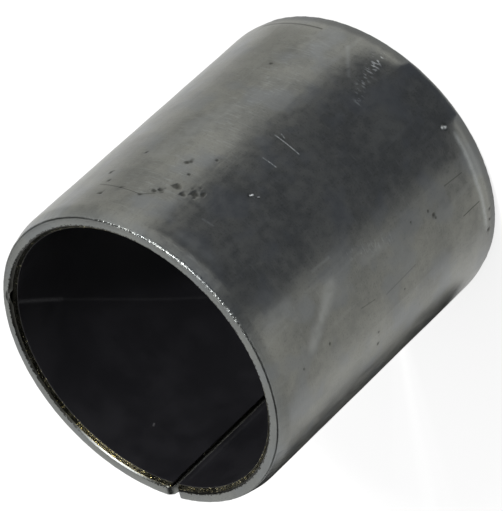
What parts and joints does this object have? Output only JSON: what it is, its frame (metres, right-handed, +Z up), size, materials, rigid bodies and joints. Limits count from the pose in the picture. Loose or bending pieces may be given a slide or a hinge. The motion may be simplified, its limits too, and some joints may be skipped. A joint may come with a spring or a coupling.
{
  "type": "wrapped plain bearing bushing",
  "caption": "Rolled composite plain bearing bush: steel tube with a bronze layer, a black sliding lining, an open butt joint and chamfered ends.",
  "frame": {"origin": "centre of the lower end of the tube, on the bore axis, at the surface that it stands on", "axes": "+Z up along the bore axis; the open butt joint faces +Y; +X completes the right-handed frame"},
  "size_m": [0.0272, 0.0272, 0.0298],
  "materials": {
    "backing_steel": "worn satin tin-grey plating",
    "sintered_bronze": "rough sintered grains",
    "black_lining": "smooth, faintly glossy black"
  },
  "bodies": {
    "root": {"steel_backing": "backing_steel", "bronze_layer": "sintered_bronze", "sliding_lining": "black_lining"}
  },
  "joints": []
}
